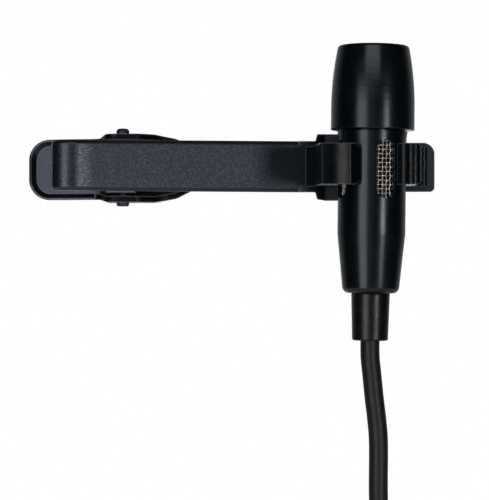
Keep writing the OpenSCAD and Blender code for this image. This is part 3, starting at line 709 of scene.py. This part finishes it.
class MICROPHONE_OT_screen(bpy.types.Operator):
    """Weaves the wire sleeve that shows through the housing's slots"""

    bl_idname = "microphone.screen"
    bl_label = "Wire screen"

    def execute(self, context):
        settings = context.scene.microphone_finish
        wire_r = settings.wire_diameter / MM / 2
        pitch = settings.wire_pitch / MM
        posts = 2 * round(math.pi * SCREEN_R / pitch)
        height = SCREEN_HIGH - SCREEN_LOW
        rows = round(height / pitch)
        swing = wire_r * WIRE_SWING
        section = circle_section(wire_r, WIRE_SIDES)
        parts = []
        # Uprights, and then rings that pass on their other side; a wire bends 4 times in a pitch
        for k in range(posts):
            angle = 2 * math.pi * (k + 0.5) / posts
            out = Vector((math.cos(angle), math.sin(angle), 0))
            beside = Vector((-out.y, out.x, 0))
            path = [
                out * (SCREEN_R + swing * math.cos(math.pi * (i / 4 + k)))
                + Vector((0, 0, SCREEN_LOW + height * i / (4 * rows)))
                for i in range(4 * rows + 1)
            ]
            parts.append(sweep(path, section, lambda i, beside=beside: beside))
        for row in range(rows + 1):
            path = []
            for i in range(4 * posts):
                angle = 2 * math.pi * (i / 4 + 0.5) / posts
                away = SCREEN_R - swing * math.cos(math.pi * (i / 4 + row))
                path.append(Vector((away * math.cos(angle), away * math.sin(angle),
                                    SCREEN_LOW + height * row / rows)))
            parts.append(sweep(path, section, lambda i: Vector((0, 0, 1)), closed=True))
        vertices, faces = joined(parts)
        placed = [MIC_FRAME @ v for v in vertices]
        wire = bright_metal("screen_wire", settings.wire, 0.3)
        screen = new_piece("wire_screen", placed, faces, wire)
        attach(screen, "microphone")
        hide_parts("side_mesh")
        return {"FINISHED"}


class MICROPHONE_OT_body(bpy.types.Operator):
    """Paints the cap and the housing and finishes what they hold"""

    bl_idname = "microphone.body"
    bl_label = "Microphone body"

    def execute(self, context):
        settings = context.scene.microphone_finish
        dress(satin_paint(settings), "front_cap", "housing")
        dress(grained_plastic("relief_rubber", settings.relief, 0.3, 0.2, 0.02), "strain_relief")
        dress(bright_metal("perforated_disc", settings.wire, 0.3), "front_mesh")
        dress(felt(), "felt_disc")
        dress(bright_metal("capsule_can", CAPSULE_CAN, 0.3), "capsule", "cable_clamp")
        dress(grained_plastic("seat_rubber", SEAT_RUBBER, 0.6, 0.2, 0.004), "capsule_ring")
        dress(circuit_lacquer(), "circuit_board")
        dress(bright_metal("copper_lead", COPPER, 0.28), "hookup_wires")
        dress(cable_jacket(context.scene.microphone_cable.jacket), "cable_end")
        return {"FINISHED"}


class MICROPHONE_OT_clip(bpy.types.Operator):
    """Finishes the clip, its pin and spring, and the moulded ring"""

    bl_idname = "microphone.clip"
    bl_label = "Clip"

    def execute(self, context):
        settings = context.scene.microphone_clip
        steel = settings.steel
        bar = black_steel("bar_steel", steel, settings.steel_roughness, ior=1.79, bar=True)
        dress(bar, "clip_bar")
        dress(black_steel("thumb_steel", steel, 0.27, ior=1.68), "clip_lever")
        lever = NODES["clip_lever"].data
        lever.materials.append(black_steel("lever_steel", steel, 0.4, ior=1.3))
        for face in lever.polygons:
            face.material_index = int(face.center.x > THUMB_END * MM)
        dress(black_steel("pin_steel", PIN_STEEL, 0.4), "pivot_pin")
        dress(bright_metal("spring_wire", SPRING_STEEL, 0.3), "torsion_spring", "latch_spring")
        # the ring's sharp edges get a painted highlight
        ring = grained_plastic("ring_plastic", settings.ring, 0.16, 0.16, 0.028, edge_mm=0.16,
                               ior=1.3, edge_highlight=PAINTED_HIGHLIGHT_PLASTIC)
        dress(ring, "mic_holder")
        return {"FINISHED"}


class MICROPHONE_OT_plug(bpy.types.Operator):
    """Finishes the locking plug at the cable's end"""

    bl_idname = "microphone.plug"
    bl_label = "Plug"

    def execute(self, context):
        dress(grained_plastic("boot_rubber", BOOT_RUBBER, 0.55, 0.25, 0.01), "plug_boot")
        dress(black_steel("plug_shell_paint", SHELL_PAINT, 0.34), "plug_shell", "plug_collar")
        dress(bright_metal("nickel", NICKEL, 0.22), "plug_nose")
        dress(grained_plastic("insulator", INSULATOR, 0.5, 0.2, 0.003), "plug_insert")
        dress(bright_metal("gold", GOLD, 0.2), "plug_contacts")
        dress(grained_plastic("latch_plastic", LATCH_PLASTIC, 0.38, 0.2, 0.004), "plug_latch")
        return {"FINISHED"}


class MICROPHONE_OT_studio(bpy.types.Operator):
    """Builds the pale floor, the white surroundings and the soft lights"""

    bl_idname = "microphone.studio"
    bl_label = "Studio"

    def execute(self, context):
        settings = context.scene.microphone_studio
        context.scene.view_settings.view_transform = "Standard"
        studio_world(settings)
        studio_floor(settings)
        soft_light("left_light", -33, (0.23, 0.4), -0.1, settings.left_light)
        soft_light("right_light", 35, (0.09, 0.13), -0.03, settings.right_light)
        soft_light("top_light", -5, (0.4, 0.16), 0.26, settings.top_light)
        soft_light("front_light", -6, (0.16, 0.26), 0.0, settings.front_light)
        return {"FINISHED"}


def soft_light(name, azimuth, size, height, radiance):
    """A rectangular light, azimuth degrees round from the camera towards +X, in metres."""
    data = bpy.data.lights.new(name, "AREA")
    data.shape = "RECTANGLE"
    data.size, data.size_y = size
    data.energy = 4 * radiance * data.size * data.size_y
    light = bpy.data.objects.new(name, data)
    angle = math.radians(azimuth)
    centre = Vector((MIC_X, MIC_Y, 0)) * MM
    away = Vector((math.sin(angle), -math.cos(angle), 0)) * LIGHT_DISTANCE
    light.location = centre + away + Vector((0, 0, height))
    aim = centre - light.location
    if abs(height) < LEVEL_LIGHT:
        aim.z = 0
    light.rotation_euler = aim.to_track_quat("-Z", "Y").to_euler()
    light.visible_camera = False
    bpy.context.scene.collection.objects.link(light)


def studio_world(settings):
    """White to the camera, dim on dull surfaces, and for reflections brighter behind the object."""
    world = bpy.data.worlds.new("studio")
    bpy.context.scene.world = world
    world.use_nodes = True
    nodes = Nodes(world.node_tree)
    path = nodes.add("ShaderNodeLightPath").outputs
    coordinates = nodes.add("ShaderNodeTexCoord")
    direction = nodes.add("ShaderNodeSeparateXYZ")
    nodes.link(coordinates.outputs["Generated"], direction.inputs["Vector"])
    backwards = direction.outputs["Y"]
    wall = nodes.mapped(backwards, (0.2, 0.95), (0.008, 0.35), smooth=True)
    middle = nodes.mapped(backwards, (0.94, 1))
    reflected = nodes.combined("ADD", wall, middle)
    around = nodes.blended(path["Is Glossy Ray"], settings.ambient, reflected)
    seen = nodes.combined("MAXIMUM", path["Is Camera Ray"], path["Is Transmission Ray"])
    background = world.node_tree.nodes["Background"]
    background.inputs["Color"].default_value = (1, 1, 1, 1)
    nodes.link(nodes.blended(seen, around, 1), background.inputs["Strength"])


def studio_floor(settings):
    """A round pale floor under the plug; towards its rim it fades into the white surroundings."""
    height = CAD_BOX[0].z / MM - FLOOR_DROP
    vertices = [(x, y, height) for x, y in circle_section(FLOOR_R, FLOOR_SIDES)]
    finish = Finish("floor_paper", settings.floor, 0.8)
    finish.relief([(finish.noise(1.5), 0.02)])
    distance = finish.add("ShaderNodeVectorMath", operation="LENGTH")
    finish.link(finish.place, distance.inputs[0])
    fade = finish.mapped(distance.outputs["Value"], [d * MM for d in FLOOR_FADE], smooth=True)
    clear = finish.add("ShaderNodeBsdfTransparent")
    blend = finish.add("ShaderNodeMixShader")
    finish.link(fade, blend.inputs["Fac"])
    finish.link(finish.shader.outputs["BSDF"], blend.inputs[1])
    finish.link(clear.outputs["BSDF"], blend.inputs[2])
    output = finish.tree.nodes["Material Output"]
    finish.link(blend.outputs["Shader"], output.inputs["Surface"])
    floor = new_piece("floor", vertices, [tuple(range(FLOOR_SIDES))], finish.material, smooth=False)


class MICROPHONE_PT_panel(bpy.types.Panel):
    """Lists the pieces of the microphone and their settings"""

    bl_label = "Clip-on Microphone"
    bl_idname = "MICROPHONE_PT_panel"
    bl_space_type = "VIEW_3D"
    bl_region_type = "UI"
    bl_category = "Microphone"

    def draw(self, context):
        for operator in OPERATORS:
            self.layout.operator(operator.bl_idname)
        for group in SETTINGS:
            settings = getattr(context.scene, group)
            box = self.layout.box()
            for name in settings.bl_rna.properties.keys():
                if name not in {"rna_type", "name"}:
                    box.prop(settings, name)


SETTINGS = {
    "microphone_cable": CableSettings,
    "microphone_finish": MicrophoneSettings,
    "microphone_clip": ClipSettings,
    "microphone_studio": StudioSettings,
}
OPERATORS = [
    MICROPHONE_OT_camera, MICROPHONE_OT_straps, MICROPHONE_OT_cable, MICROPHONE_OT_screen,
    MICROPHONE_OT_body, MICROPHONE_OT_clip, MICROPHONE_OT_plug, MICROPHONE_OT_studio,
]


def register():
    for cls in (*SETTINGS.values(), *OPERATORS, MICROPHONE_PT_panel):
        bpy.utils.register_class(cls)
    for name, cls in SETTINGS.items():
        setattr(bpy.types.Scene, name, PointerProperty(type=cls))


def unregister():
    for name in SETTINGS:
        delattr(bpy.types.Scene, name)
    for cls in (MICROPHONE_PT_panel, *reversed(OPERATORS), *reversed(SETTINGS.values())):
        bpy.utils.unregister_class(cls)


def main():
    register()
    for operator in OPERATORS:
        group, name = operator.bl_idname.split(".")
        getattr(getattr(bpy.ops, group), name)()


if __name__ == "__main__":
    main()
